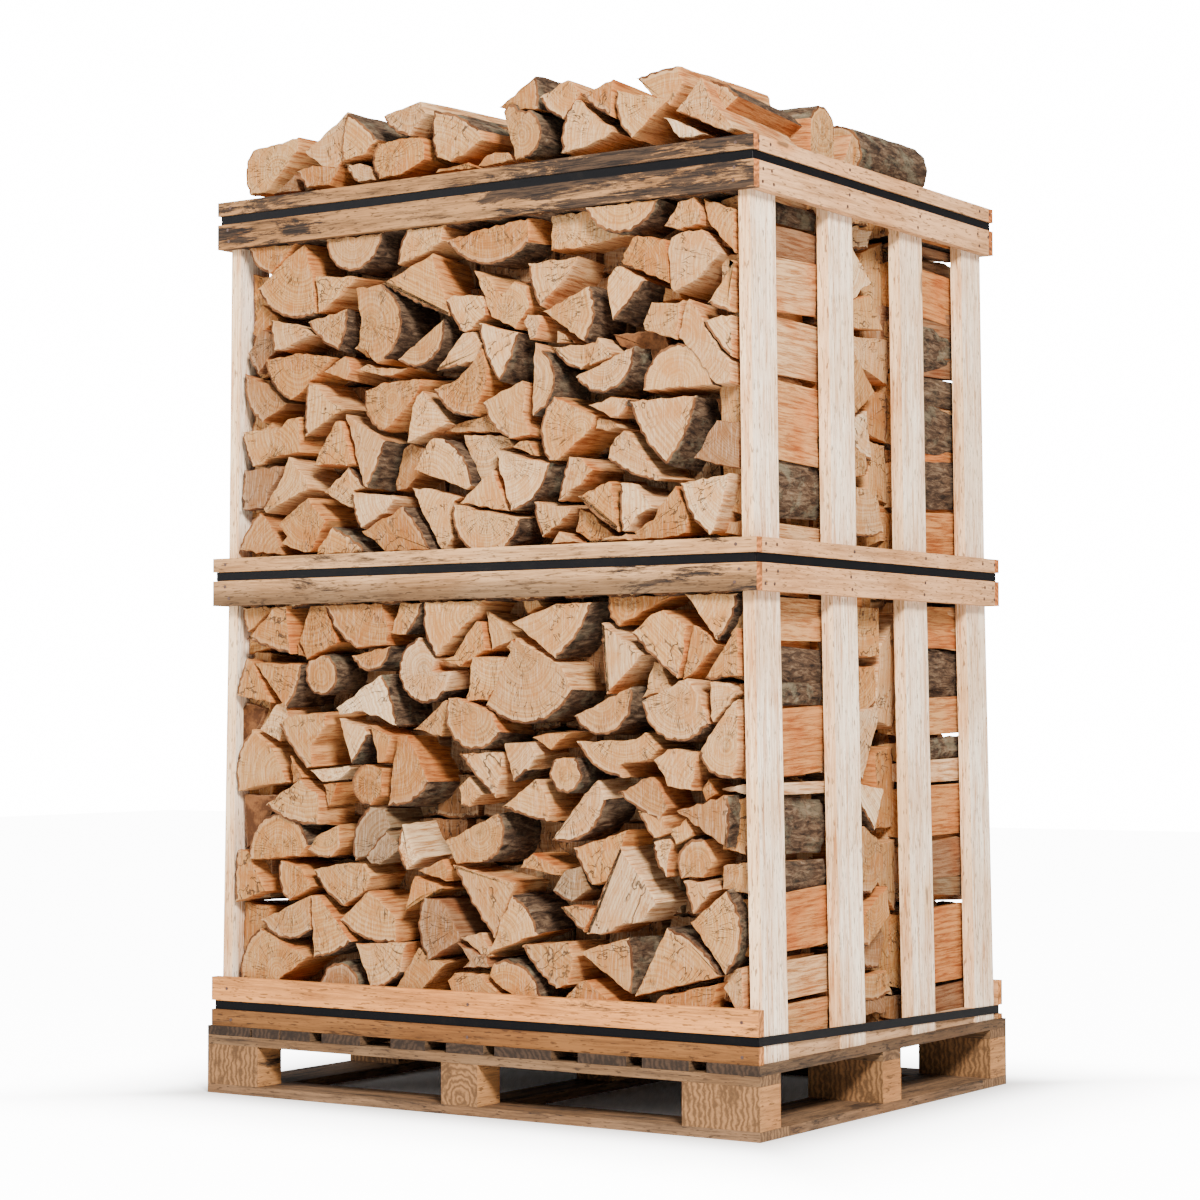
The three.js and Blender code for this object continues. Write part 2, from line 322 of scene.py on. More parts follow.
nail_steel, tree, steel = new_material("nail_steel")
rust = step(tree, add_noise(tree, add_node(tree, "TexCoord").outputs["Object"], 800, 3), 0.4, 0.65)
tree.links.new(mix_colours(tree, rust, (0.09, 0.08, 0.075), (0.10, 0.05, 0.03)), steel.inputs["Base Color"])
steel.inputs["Metallic"].default_value = 0.6
steel.inputs["Roughness"].default_value = 0.5
head_radius = 0.003
head_height = 0.0012
chance = random.Random(3)
nails = []
for ring in ("middle_rail_", "top_rail_"):
    for side in ("left", "right"):
        low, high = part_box(ring + side)
        face = high[X] if side == "right" else low[X]
        for y in (-0.430, -0.392, -0.125, 0.147, 0.390, 0.432):
            for z in (0.012, 0.034, 0.079):
                nails.append((face, y + chance.uniform(-0.008, 0.008), low[Z] + z, X))
    for side in ("front", "back"):
        low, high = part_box(ring + side)
        face = low[Y] if side == "front" else high[Y]
        for x in (-0.565, 0.560):
            for z in (0.014, 0.036, 0.078):
                nails.append((x + chance.uniform(-0.006, 0.006), face, low[Z] + z, Y))
for side in ("front", "back"):
    low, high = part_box("bottom_rail_" + side)
    face = low[Y] if side == "front" else high[Y]
    for x in (-0.560, 0.0, 0.565):
        for z in (0.012, 0.070):
            nails.append((x + chance.uniform(-0.01, 0.01), face, low[Z] + z, Y))
heads = []
for x, y, z, driven in nails:
    bpy.ops.mesh.primitive_cylinder_add(
        vertices=12, radius=head_radius, depth=head_height, location=(x, y, z),
        rotation=(0, math.pi / 2, 0) if driven == X else (math.pi / 2, 0, 0),
    )
    heads.append(bpy.context.object)
for head in heads:
    head.select_set(True)
bpy.context.view_layer.objects.active = heads[0]
bpy.ops.object.join()
nail_heads = bpy.context.object
nail_heads.name = "nail_heads"
bpy.ops.object.transform_apply(location=True, rotation=True, scale=True)
nail_heads.data.materials.append(nail_steel)
nail_heads.select_set(False)
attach(nail_heads, "root")

# Straps: black plastic bands drawn tight in the rails' grooves, smooth, with fine lines
# along them. The solids are kept.

material, tree, plastic = new_material("strap_black")
place = add_node(tree, "TexCoord").outputs["Object"]
lines = add_noise(tree, stretch(tree, place, (0.3, 0.3, 14)), 120, 2, 0.5)
dust = times(tree, step(tree, add_noise(tree, place, 22, 6, 0.7), 0.5, 0.8), 0.25)
face = mix_colours(tree, dust, (0.002, 0.002, 0.0025), (0.02, 0.017, 0.014))
finish_shader(tree, plastic, face, lines, 0.4, 0.08, 0.3, 0.0003)
roughness = add_node(tree, "MapRange", {0: lines, 3: 0.3, 4: 0.5}).outputs[0]
tree.links.new(roughness, plastic.inputs["Roughness"])
for node in ("strap_bottom", "strap_middle", "strap_top"):
    give_material(node, material)

# Firewood, front row: split hardwood logs about 0.3 m long, lying front to back. Each log
# is a sawn end, sides split along the grain and, on most, a strip of bark. The end's outline
# is listed, and the mesh is made in code, as no modelling tool gives 1200 of them.
# In a log's numbers: tone, depth behind the foremost end in mm, how far its bark side
# bulges in percent, then the corners of its end, right and up in mm. The bark side runs
# from the last corner to the first; with a negative bulge the side before it has bark too.
# Tone 1 is whitish, 2 and 3 are tan, 4 orange, 5 brown, 6 grey. 7 and 8 are brown ones that
# end in a split face and in bark.

split_end = 7
bark_end = 8
no_bark = 9.0
bark_step = 0.006
side_step = 0.009


def outline_of(corners, bulge):
    """Points round a log's end, which of its sides have bark, the rings' centre and their size."""
    points = [Vector((corners[at], corners[at + 1])) / 1000 for at in range(0, len(corners), 2)]
    if len(points) > 2:
        area = sum(a.x * b.y - b.x * a.y for a, b in zip(points, points[1:] + points[:1]))
        if area > 0:
            points.reverse()
            if bulge < 0:
                points = points[1:] + points[:1]
    centre = sum(points, Vector((0, 0))) / len(points)
    radius = no_bark
    line = []
    bark = []
    for at, start in enumerate(points):
        stop = points[(at + 1) % len(points)]
        chord = stop - start
        has_bark = bulge != 0 and (at == len(points) - 1 or bulge < 0 and at == len(points) - 2)
        if has_bark and chord.length > 0:
            height = max(0.02, abs(bulge) / 100) * chord.length
            radius = (chord.length_squared / 4 + height * height) / (2 * height)
            left = Vector((-chord.y, chord.x)).normalized()
            middle = (start + stop) / 2 + left * (height - radius)
            first = math.atan2(start.y - middle.y, start.x - middle.x)
            sweep = (first - math.atan2(stop.y - middle.y, stop.x - middle.x)) % (2 * math.pi)
            count = max(2, round(radius * sweep / bark_step))
            for part in range(count):
                turn = first - sweep * part / count
                line.append(middle + Vector((math.cos(turn), math.sin(turn))) * radius)
                bark.append(True)
            centre = middle
        else:
            count = max(1, round(chord.length / side_step))
            for part in range(count):
                line.append(start + chord * part / count)
                bark.append(False)
    return np.array(line), np.array(bark), np.array(centre), radius


def new_pile():
    """An empty pile of logs, filled by add_log."""
    return {"points": [], "faces": [], "kinds": [], "grain": [], "look": []}


def add_log(pile, log, origin, across, up, inward, length, chance, fine=True, spread=0.012, tuck=0.09):
    """One log: its end at the origin, facing away from inward."""
    tone, depth, bulge = log[:3]
    if tone < 4:
        tone = min(4.3, max(1.0, tone + chance.uniform(-0.2, 0.2)))
    line, bark, centre, radius = outline_of(log[3:], bulge)
    count = len(line)
    if bulge == 0:
        turn = chance.uniform(0, 2 * math.pi)
        far = chance.uniform(0.03, 0.11)
        centre = centre + far * np.array((math.cos(turn), math.sin(turn)))
    ahead = np.roll(line, -1, axis=0) - np.roll(line, 1, axis=0)
    outward = np.stack((-ahead[:, 1], ahead[:, 0]), axis=1)
    outward = outward / np.maximum(np.linalg.norm(outward, axis=1, keepdims=True), 1e-9)
    travelled = np.cumsum(np.linalg.norm(line - np.roll(line, 1, axis=0), axis=1))
    is_bark = np.logical_or(bark, np.roll(bark, 1)).astype(float)
    if fine:
        stations = (0.0, 0.0015, 0.012, 0.026, 0.045, 0.07, 0.10, 0.14, 0.19, 0.25, length)
    else:
        stations = (0.0, 0.002, 0.05, 0.15, length)

    # How this log lies, and how its sides waver, from chance.
    start = depth / 1000 + chance.uniform(0, spread)
    twist = chance.uniform(-0.5, 0.5)
    taper = chance.uniform(0.1, 0.5)
    lean = np.array((chance.uniform(-0.05, 0.05), chance.uniform(-0.05, 0.05)))
    cut = np.array((chance.uniform(-0.05, 0.05), chance.uniform(-0.05, 0.05)))
    waves = []
    for part in range(5):
        waves.append((
            chance.uniform(40, 260), chance.uniform(4, 30), chance.uniform(0, 6.3),
            chance.uniform(0.2, 0.75),
            chance.uniform(120, 380), chance.uniform(60, 190), chance.uniform(0, 6.3),
        ))
    seed = chance.uniform(0, 90)
    jitter = np.array([chance.uniform(-0.0010, 0.0010) for each in range(count)])
    rim = np.array([chance.uniform(0.0022, 0.0050) for each in range(count)])
    rim = np.where(is_bark > 0, rim, 0.0005)

    # A log beside a post leans away from it, so that it doesn't cut into the post.
    middle = line.mean(axis=0)
    beside_post = 0.43
    if abs(middle[0]) > beside_post:
        twist = twist * 0.15
        lean[0] = -math.copysign(tuck, middle[0])

    # Rings of points from the sawn end inwards. The first ring lies within the end itself,
    # and the flat band from it to the second is the rim of the bark.
    base = len(pile["points"])
    whole = np.linalg.norm(line - centre, axis=1).max() <= radius + 0.002
    shade = 5 if tone == bark_end else tone
    look = (shade / 10, seed, radius if whole else no_bark)
    for row, place in enumerate((0.0,) + stations):
        split_wave = sum(w[3] * np.sin(w[0] * travelled + w[1] * place + w[2]) for w in waves)
        bark_wave = sum(0.5 * np.sin(w[4] * travelled + w[5] * place + w[6]) for w in waves)
        offset = 0.001 * (split_wave * (1 - is_bark) + bark_wave * is_bark)
        offset = offset - 0.0012 + jitter * (1 if place < 0.01 else 0.6)
        if place == 0.0:
            offset = offset - (0.001 if row else 0.001 + rim)
        ring = line + outward * offset[:, None]
        turn = twist * place
        spin = np.array(((math.cos(turn), -math.sin(turn)), (math.sin(turn), math.cos(turn))))
        ring = middle + (ring - middle) @ spin.T * (1 - taper * place * place) + lean * place
        for at in range(count):
            u, v = ring[at]
            w = start + place
            if place < 0.002:
                w = w + cut[0] * (u - middle[0]) + cut[1] * (v - middle[1])
            pile["points"].append(tuple(origin + across * u + up * v + inward * w))
            deep = rim[at] if row == 0 else 0.0
            flat = line[at] - outward[at] * deep - centre
            pile["grain"].append((flat[0], flat[1], place))
            pile["look"].append(look)

    # The faces between the rings, and the two ends. Kind 0 is a sawn end, 1 split wood, 2 bark.
    turned = across.cross(up).dot(inward) > 0
    rows = len(stations) + 1
    for row in range(rows - 1):
        for at in range(count):
            after = (at + 1) % count
            low = base + row * count
            face = (low + at, low + after, low + after + count, low + at + count)
            pile["faces"].append(face if turned else face[::-1])
            pile["kinds"].append(2 if bark[at] else 1 if row else 0)
    front = tuple(range(base, base + count))
    back = tuple(range(base + (rows - 1) * count, base + rows * count))
    pile["faces"].append(front[::-1] if turned else front)
    pile["faces"].append(back if turned else back[::-1])
    pile["kinds"].extend(({split_end: 1, bark_end: 2}.get(tone, 0), 0))


def finish_pile(pile, name, *nodes):
    """Turn a pile into one piece that stands for the given solids."""
    mesh = bpy.data.meshes.new(name)
    mesh.from_pydata(pile["points"], [], pile["faces"])
    mesh.update()
    for kept in ("grain", "look"):
        attribute = mesh.attributes.new(kept, "FLOAT_VECTOR", "POINT")
        attribute.data.foreach_set("vector", np.array(pile[kept], dtype=np.float32).ravel())
    for material in log_materials:
        mesh.materials.append(material)
    mesh.polygons.foreach_set("material_index", pile["kinds"])
    piece = bpy.data.objects.new(name, mesh)
    bpy.context.scene.collection.objects.link(piece)
    bpy.context.view_layer.objects.active = piece
    piece.select_set(True)
    bpy.ops.object.shade_smooth_by_angle(angle=math.radians(38))
    piece.select_set(False)
    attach(piece, "root")
    if nodes:
        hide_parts(*nodes)


def add_value_noise(tree, value, scale, detail):
    """Noise along one value, such as a log's own seed."""
    inputs = {"W": value, "Scale": scale, "Detail": detail}
    return add_node(tree, "TexNoise", inputs, noise_dimensions="1D").outputs[0]


def log_place(tree):
    """A place from the heart and the end of its log, the same moved by a lot of the log's
    own, and the log's look: tone, lot and the radius of its bark."""
    grain = add_node(tree, "Attribute", attribute_name="grain").outputs["Vector"]
    look = add_node(tree, "Attribute", attribute_name="look").outputs["Vector"]
    look = add_node(tree, "SeparateXYZ", {0: look}).outputs
    shift = add_node(tree, "CombineXYZ", {0: look[1], 1: times(tree, look[1], 1.7), 2: look[1]}).outputs[0]
    place = add_node(tree, "VectorMath", {0: grain, 1: shift}, operation="ADD").outputs[0]
    return grain, place, look


def end_wood():
    """A sawn end: rings round the heart, rays and cracks, saw marks and pale sapwood."""
    material, tree, wood = new_material("log_end")
    grain, place, look = log_place(tree)
    parts = add_node(tree, "SeparateXYZ", {0: grain}).outputs
    flat = add_node(tree, "CombineXYZ", {0: parts[0], 1: parts[1]}).outputs[0]
    distance = add_node(tree, "VectorMath", {0: flat}, operation="LENGTH").outputs["Value"]
    turn = do_maths(tree, "ARCTAN2", parts[1], parts[0])
    wander = times(tree, add_noise(tree, place, 22, 3), 0.010)
    ring_at = do_maths(tree, "ADD", do_maths(tree, "ADD", distance, wander), look[1])
    rings = add_value_noise(tree, ring_at, 210.0, 3.0)
    ray_place = add_node(
        tree, "CombineXYZ", {0: times(tree, turn, 16.0), 1: times(tree, distance, 18.0), 2: look[1]}
    ).outputs[0]
    rays = add_noise(tree, ray_place, 2.2, 6, 0.75)
    crack_turn = do_maths(tree, "MULTIPLY_ADD", wander, 60.0, times(tree, turn, 3.2))
    crack_place = add_node(
        tree, "CombineXYZ", {0: crack_turn, 1: times(tree, distance, 9.0), 2: look[1]}
    ).outputs[0]
    from_crack = do_maths(tree, "SUBTRACT", add_noise(tree, crack_place, 2.6, 2, 0.5), 0.5)
    crack = opposite(tree, step(tree, do_maths(tree, "ABSOLUTE", from_crack), 0.0, 0.024))
    crack = times(tree, crack, step(tree, add_noise(tree, place, 14, 2), 0.46, 0.56))
    speck = add_noise(tree, place, 330, 3, 0.7)
    cloud = add_noise(tree, place, 17, 4, 0.6)
    saw = add_noise(tree, stretch(tree, place, (1.0, 0.06, 1.0)), 420, 3, 0.6)
    tones = (
        (0.10, (0.66, 0.56, 0.43)),
        (0.20, (0.54, 0.415, 0.275)),
        (0.30, (0.46, 0.335, 0.198)),
        (0.40, (0.42, 0.285, 0.150)),
        (0.50, (0.30, 0.215, 0.14)),
        (0.60, (0.27, 0.215, 0.155)),
        (0.70, (0.64, 0.51, 0.36)),
    )
    base = grade(tree, look[0], tones)
    own = step(tree, add_value_noise(tree, look[1], 9.0, 0.0), 0.35, 0.65)
    base = mix_colours(tree, own, tint(tree, base, (0.80, 0.77, 0.74)), base)
    deep = tint(tree, base, (0.74, 0.64, 0.54))
    deeper = tint(tree, base, (0.52, 0.40, 0.29))
    stained = tint(tree, base, (0.80, 0.64, 0.46))
    pale = mix_colours(tree, 0.5, base, (0.86, 0.77, 0.66))
    from_bark = do_maths(tree, "SUBTRACT", look[2], distance)
    sapwood = opposite(tree, step(tree, from_bark, 0.006, 0.011))
    face = base
    for mark, share, shade in (
        (step(tree, rings, 0.44, 0.56), 0.8, deep),
        (step(tree, rays, 0.52, 0.64), 0.75, deeper),
        (step(tree, cloud, 0.44, 0.68), 0.7, stained),
        (step(tree, saw, 0.52, 0.64), 0.3, deep),
        (step(tree, saw, 0.48, 0.36), 0.25, pale),
        (step(tree, speck, 0.58, 0.74), 0.6, (0.17, 0.11, 0.07)),
        (crack, 0.9, (0.05, 0.035, 0.025)),
        (sapwood, 0.12, (0.74, 0.63, 0.49)),
    ):
        face = mix_colours(tree, times(tree, mark, share), face, shade)
    height = do_maths(tree, "ADD", saw, times(tree, rings, 0.5))
    height = do_maths(tree, "SUBTRACT", height, times(tree, crack, 2.0))
    finish_shader(tree, wood, face, height, 0.85, 0.2, 0.8, 0.0014)
    return material


def split_wood():
    """A side split along the grain: long fibres, torn streaks, tan to orange."""
    material, tree, wood = new_material("log_split")
    grain, place, look = log_place(tree)
    fibres = add_noise(tree, stretch(tree, place, (1, 1, 0.06)), 190, 7, 0.75, 0.5)
    torn = add_noise(tree, stretch(tree, place, (1, 1, 0.16)), 60, 5, 0.7, 1.0)
    cloud = add_noise(tree, place, 9, 3, 0.5)
    tones = (
        (0.10, (0.70, 0.57, 0.42)),
        (0.20, (0.60, 0.455, 0.305)),
        (0.30, (0.55, 0.375, 0.215)),
        (0.40, (0.50, 0.31, 0.155)),
        (0.50, (0.25, 0.17, 0.11)),
        (0.60, (0.21, 0.17, 0.12)),
        (0.70, (0.66, 0.54, 0.39)),
    )
    base = grade(tree, look[0], tones)
    face = mix_colours(tree, step(tree, fibres, 0.38, 0.58), tint(tree, base, (0.50, 0.39, 0.29)), base)
    streaks = times(tree, step(tree, torn, 0.55, 0.72), 0.7)
    face = mix_colours(tree, streaks, face, tint(tree, base, (0.42, 0.30, 0.20)))
    face = mix_colours(tree, step(tree, cloud, 0.4, 0.75), face, tint(tree, face, (0.85, 0.66, 0.48)))
    height = do_maths(tree, "ADD", fibres, times(tree, torn, 1.2))
    finish_shader(tree, wood, face, height, 0.8, 0.25, 0.8, 0.0025)
    return material


def bark_wood():
    """Bark: dark grey brown ridges along the log, with grey green lichen, and brown where sawn."""
    material, tree, wood = new_material("log_bark")
    grain, place, look = log_place(tree)
    ridges = add_noise(tree, stretch(tree, place, (1, 1, 0.24)), 110, 7, 0.75, 0.6)
    patches = add_noise(tree, place, 24, 5, 0.7)
    shades = (
        (0.36, (0.008, 0.006, 0.005)),
        (0.49, (0.06, 0.043, 0.031)),
        (0.60, (0.14, 0.108, 0.08)),
        (0.72, (0.25, 0.21, 0.165)),
    )
    face = grade(tree, ridges, shades)
    grows = step(tree, add_value_noise(tree, look[1], 3.0, 2.0), 0.4, 0.6)
    lichen = times(tree, step(tree, patches, 0.48, 0.62), grows)
    lichen_shade = mix_colours(tree, ridges, (0.035, 0.033, 0.025), (0.28, 0.26, 0.205))
    face = mix_colours(tree, times(tree, lichen, 0.6), face, lichen_shade)
    from_end = add_node(tree, "SeparateXYZ", {0: grain}).outputs[2]
    sawn = opposite(tree, step(tree, from_end, 0.0002, 0.0012))
    rim_shade = mix_colours(tree, step(tree, patches, 0.4, 0.6), (0.08, 0.046, 0.027), (0.20, 0.12, 0.068))
    face = mix_colours(tree, sawn, face, rim_shade)
    finish_shader(tree, wood, face, ridges, 0.92, 0.15, 0.9, 0.004)
    return material


log_materials = (end_wood(), split_wood(), bark_wood())

lower_front = (
    (3.4, 5, 18, -548, 200, -470, 203, -378, 262, -500, 312),
    (3, 5, 22, -497, 328, -380, 376, -374, 312),
    (3.3, 5, 8, -367, 262, -373, 377, -352, 378, -275, 295),
    (5, 5, 60, -262, 200, -355, 200),
    (2.6, 5, 10, -232, 210, -267, 293, -143, 300, -160, 245),
    (3.6, 5, 4, -575, 357, -485, 380, -530, 455, -557, 457),
    (4, 5, 18, -425, 363, -368, 392, -400, 430, -448, 440),
    (4, 5, 52, -378, 468, -400, 447, -520, 438),
    (3.5, 5, 12, -388, 460, -365, 490, -310, 508, -308, 465, -330, 447),
    (6, 5, 20, -270, 441, -245, 452, -190, 505, -205, 540, -240, 542),
    (6, 5, 6, -248, 450, -235, 438, -215, 436, -160, 470, -200, 500),
    (3, 5, 10, -372, 425, -300, 437, -255, 440, -235, 415, -250, 388, -300, 358),
    (3.2, 5, 12, -312, 333, -243, 390, -178, 345, -178, 297),
    (3, 5, 0, -185, 208, -125, 290, -95, 270, -62, 265, -125, 208),
    (3.4, 5, 0, -45, 208, -55, 235, -40, 250, 15, 250, 68, 208),
    (5, 5, 0, -35, 302, -10, 272, -25, 258, 38, 262, 30, 282),
    (2, 5, 0, -28, 313, 5, 322, 20, 322, 42, 282, 30, 276),
    (5, 5, 16, -98, 270, -38, 300, -28, 315, -75, 380, -112, 382),
    (4, 5, 0, -158, 352, -133, 420, -62, 398, -118, 382),
    (4, 5, 0, -128, 428, -70, 452, -55, 430, -62, 410),
    (7, 5, 18, -160, 512, -145, 485, -118, 450, -148, 428),
    (3, 5, 30, 20, 446, -40, 443, -66, 483, 58, 538),
    (2.6, 5, 3, -48, 442, 88, 413, 42, 314),
    (2.8, 5, 14, 143, 325, 35, 285, 85, 393),
    (2.8, 5, 6, 105, 305, 205, 315, 216, 285, 205, 240, 180, 230),
    (4, 5, 24, 150, 212, 95, 208, 35, 245, 45, 272),
    (4, 5, 0, 185, 208, 230, 248, 245, 250, 300, 212),
    (3.6, 5, 0, 103, 440, 110, 455, 130, 468, 190, 438, 185, 428),
    (3, 5, 6, 350, 545, 400, 535, 408, 505, 382, 496),
    (2.2, 5, 15, 380, 492, 412, 500, 420, 490, 413, 465, 408, 432),
    (3, 5, 0, 414, 505, 418, 515, 447, 533, 455, 520, 462, 503, 427, 488),
    (3.2, 5, 36, 480, 498, 498, 462, 478, 432, 432, 430),
    (2, 5, 3, 440, 428, 490, 425, 498, 410, 460, 372),
    (4.5, 5, 6, 530, 483, 430, 546, 535, 575),
    (3, 5, 22, 522, 270, 453, 357, 525, 415),
    (1.3, 5, 2, 240, 328, 278, 328, 320, 350, 355, 352, 393, 388, 315, 483),
    (4, 5, 5, 213, 478, 330, 512, 318, 485, 283, 420, 250, 412),
    (4.4, 5, 4, 186, 375, 215, 380, 262, 375, 240, 330),
    (6, 5, 8, 170, 402, 195, 440, 228, 445, 247, 405, 212, 382),
    (2.6, 5, 7, 333, 228, 222, 297, 328, 328),
    (2.8, 5, 11, 515, 268, 345, 226, 408, 348),
    (2.3, 5, 0, 520, 250, 565, 288, 572, 250, 555, 212, 548, 212),
    (4, 5, 0, 378, 208, 400, 232, 460, 245, 515, 258, 500, 208),
    (2.4, 5, 10, -30, 548, -34, 580, -12, 600, 18, 568, -12, 546),
    (2.6, 5, 4, 65, 547, 138, 598, 150, 590, 170, 545, 162, 522),
    (1.5, 5, 24, 165, 490, 235, 572, 262, 597, 281, 563),
    (3.6, 10, 10, -535, 866, -465, 915, -548, 915),
    (3.8, 0, 3, -526, 855, -455, 915, -426, 915, -414, 824),
    (4.4, 10, 0, -412, 845, -387, 817, -410, 822),
    (4, 0, 0, -404, 849, -378, 915, -343, 915, -311, 844, -385, 813),
    (4.2, 0, 10, -342, 915, -205, 915, -188, 865, -193, 838, -265, 832),
    (4, 5, 42, -282, 820, -190, 837),
    (4, 5, 5, -528, 818, -512, 812, -470, 733, -575, 746),
    (3.8, 0, 10, -432, 722, -511, 810, -397, 806),
    (3.6, 5, 180, -381, 811, -342, 824),
    (1, 0, 8, -175, 690, -252, 715, -308, 711, -317, 724, -208, 786),
    (2, 5, 0, -503, 683, -465, 731, -447, 735, -432, 712, -455, 660),
    (3.3, 0, 4, -447, 697, -405, 713, -333, 716, -336, 692, -368, 652, -367, 615, -380, 611),
    (3, 5, 16, -584, 567, -433, 585, -468, 648, -520, 685),
    (8, 30, 20, -575, 640, -520, 692, -505, 725, -572, 735),
    (4, 5, 0, -424, 636, -389, 594, -416, 583),
    (2, 0, 6, -276, 620, -304, 706, -245, 690, -236, 675),
    (3.8, 5, 0, -233, 692, -180, 672, -200, 622, -213, 624),
    (3.8, 0, 50, -232, 545, -205, 563, -202, 613, -240, 621),
    (7, 10, 0, -378, 608, -290, 617, -280, 612, -310, 588, -350, 585),
    (4, 10, 0, -350, 582, -315, 586, -325, 560, -338, 541, -345, 560),
    (3, 0, 10, -482, 543, -395, 592, -350, 565, -345, 545, -352, 508),
    (8, 25, 0, -556, 562, -470, 560, -490, 520, -520, 465, -546, 460),
    (3.4, 5, 10, -150, 855, -189, 858, -165, 915, -112, 915),
    (3, 0, 14, -103, 915, 25, 915, 12, 893, -78, 816),
    (1.8, 0, 70, -122, 850, -83, 811, -90, 790, -47, 787, -62, 752),
    (3, 5, 0, -140, 684, -66, 738, -60, 730, -78, 670),
    (2.5, 0, 50, -48, 741, -22, 739, 42, 716, 65, 680),
    (2.2, 0, 24, 28, 727, 97, 846, 119, 834, 195, 797, 222, 754),
    (2.8, 5, 0, -18, 734, -8, 815, 66, 812, 50, 763, 26, 736),
    (4, 5, 0, -83, 808, -50, 818, 0, 880, 14, 878, 24, 826, -35, 796),
    (2.8, 20, 0, 16, 897, 24, 896, 90, 846, 30, 826),
    (4, 5, 0, 68, 830, 80, 845, 95, 835, 85, 815),
    (2.5, 0, 10, 185, 808, 88, 874, 185, 905, 262, 905),
    (3, 15, 0, 90, 915, 108, 888, 140, 900, 130, 915),
    (2, 0, 4, -28, 641, 64, 645, 66, 610, 52, 562),
    (2, 5, 4, 88, 590, 70, 660, 126, 662, 140, 640, 122, 612),
    (3.5, 10, 0, 122, 670, 150, 678, 205, 678, 162, 648),
    (3, 0, 150, 180, 634, 222, 636),
    (4, 0, 16, -193, 545, -175, 672, -150, 674, -100, 590),
    (4, 10, 20, 285, 915, 420, 915, 305, 863),
    (1.8, 0, 3, 280, 870, 365, 812, 355, 800, 290, 743),
    (3.4, 0, 4, 340, 851, 380, 883, 403, 889, 450, 862, 445, 808, 432, 770),
    (3, 10, 0, 460, 862, 486, 850, 508, 828, 460, 778, 438, 767),
    (3, 5, 10, 510, 832, 448, 915, 555, 915),
    (3.6, 10, 12, 483, 770, 548, 857, 556, 850, 556, 775, 520, 772),
    (2, 5, 0, 499, 764, 530, 765, 560, 745, 504, 696, 497, 706),
    (1.8, 0, 36, 363, 733, 455, 773, 478, 745, 496, 694),
    (2.4, 20, 0, 370, 803, 386, 797, 410, 754, 347, 738),
    (2.6, 5, 44, 213, 708, 338, 759),
    (2.6, 5, 14, 224, 664, 347, 667, 364, 681, 394, 650, 378, 632, 316, 622, 320, 601),
    (2.3, 0, 0, 385, 632, 412, 652, 474, 648, 468, 610, 464, 580, 412, 586, 402, 610),
    (2.6, 5, 22, 476, 648, 500, 680, 542, 732, 562, 735, 562, 640, 545, 602),
    (4, 15, 0, 485, 604, 500, 574, 480, 562, 470, 580),
    (4.4, 5, 5, 308, 576, 375, 604, 395, 588, 413, 550, 392, 527),
)

